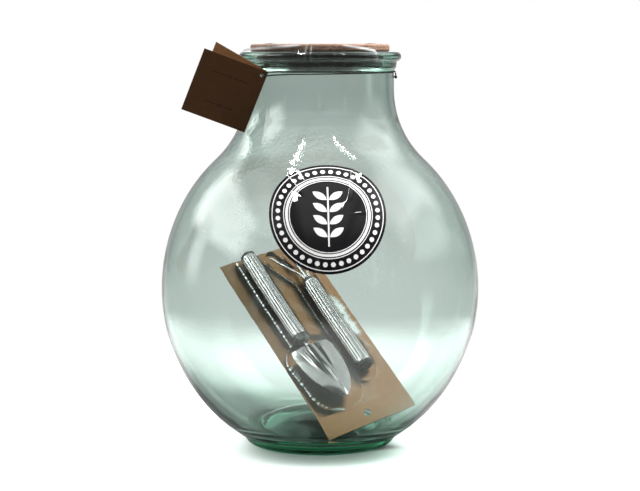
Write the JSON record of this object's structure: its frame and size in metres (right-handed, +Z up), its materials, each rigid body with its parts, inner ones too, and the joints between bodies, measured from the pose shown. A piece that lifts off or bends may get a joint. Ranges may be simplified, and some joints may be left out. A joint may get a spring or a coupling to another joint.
{
  "type": "glass terrarium jar",
  "caption": "Round green-glass jar with a cork lid under shrink film, a folded tag on a neck cord, a round sticker, and carded garden tools inside.",
  "frame": {"origin": "on the jar's axis, in the plane of its foot", "axes": "+Z up along the jar's axis, -Y towards the viewer at the front, where the sticker is"},
  "size_m": [0.3, 0.3, 0.3807],
  "materials": {
    "glass_vessel": "clear blown glass with a green cast",
    "lid_disc": "brown cork, matt",
    "lid_plug": "brown cork, matt",
    "shrink_film": "clear shrink film",
    "neck_cord": "black waxed cord",
    "cord_knot": "black waxed cord",
    "tag_front_leaf": "dark brown card, matt",
    "tag_back_leaf": "brown card, matt",
    "label_sticker": "black gloss sticker with white rings",
    "tool_card": "kraft card, matt",
    "blister_film": "clear film",
    "trowel_end_cap": "black",
    "trowel_ferrule": "dark",
    "fork_end_cap": "black",
    "fork_ferrule": "dark",
    "trowel_handle": "bright steel",
    "trowel_shank": "bright steel",
    "trowel_blade": "bright steel",
    "fork_handle": "bright steel",
    "fork_tine_left": "bright steel",
    "fork_tine_middle": "bright steel",
    "fork_tine_right": "bright steel"
  },
  "bodies": {
    "vessel": {"glass_vessel": "glass_vessel", "label_sticker": "label_sticker"},
    "lid": {"lid_disc": "lid_disc", "lid_plug": "lid_plug", "shrink_film": "shrink_film"},
    "cord": {"neck_cord": "neck_cord", "cord_knot": "cord_knot"},
    "tag": {"tag_front_leaf": "tag_front_leaf"},
    "tag_back": {"tag_back_leaf": "tag_back_leaf"},
    "tool_pack": {"tool_card": "tool_card", "blister_film": "blister_film", "trowel_handle": "trowel_handle", "trowel_end_cap": "trowel_end_cap", "trowel_ferrule": "trowel_ferrule", "trowel_shank": "trowel_shank", "trowel_blade": "trowel_blade", "fork_handle": "fork_handle", "fork_end_cap": "fork_end_cap", "fork_ferrule": "fork_ferrule", "fork_tine_left": "fork_tine_left", "fork_tine_middle": "fork_tine_middle", "fork_tine_right": "fork_tine_right"}
  },
  "joints": [
    {"name": "lid_lift", "type": "slide", "parent": "vessel", "child": "lid", "axis": [0, 0, 1], "range_m": [0, 0.12]},
    {"name": "cord_turn", "type": "hinge", "parent": "vessel", "child": "cord", "pos_m": [0, 0, 0.3523], "axis": [0, 0, 1], "continuous": true},
    {"name": "tag_swing", "type": "hinge", "parent": "cord", "child": "tag", "pos_m": [-0.0533, -0.05454, 0.35026], "axis": [-0.9304, -0.1029, 0.3518], "range_deg": [0, 20]},
    {"name": "tag_open", "type": "hinge", "parent": "tag", "child": "tag_back", "pos_m": [-0.04865, -0.05403, 0.3485], "axis": [-0.3665, 0.2611, -0.893], "range_deg": [-30, 3]},
    {"name": "pack_tip", "type": "hinge", "parent": "vessel", "child": "tool_pack", "pos_m": [0.04985, -0.04678, 0.02666], "axis": [0.8909, 0.3855, 0.2402], "range_deg": [0, 50]}
  ]
}
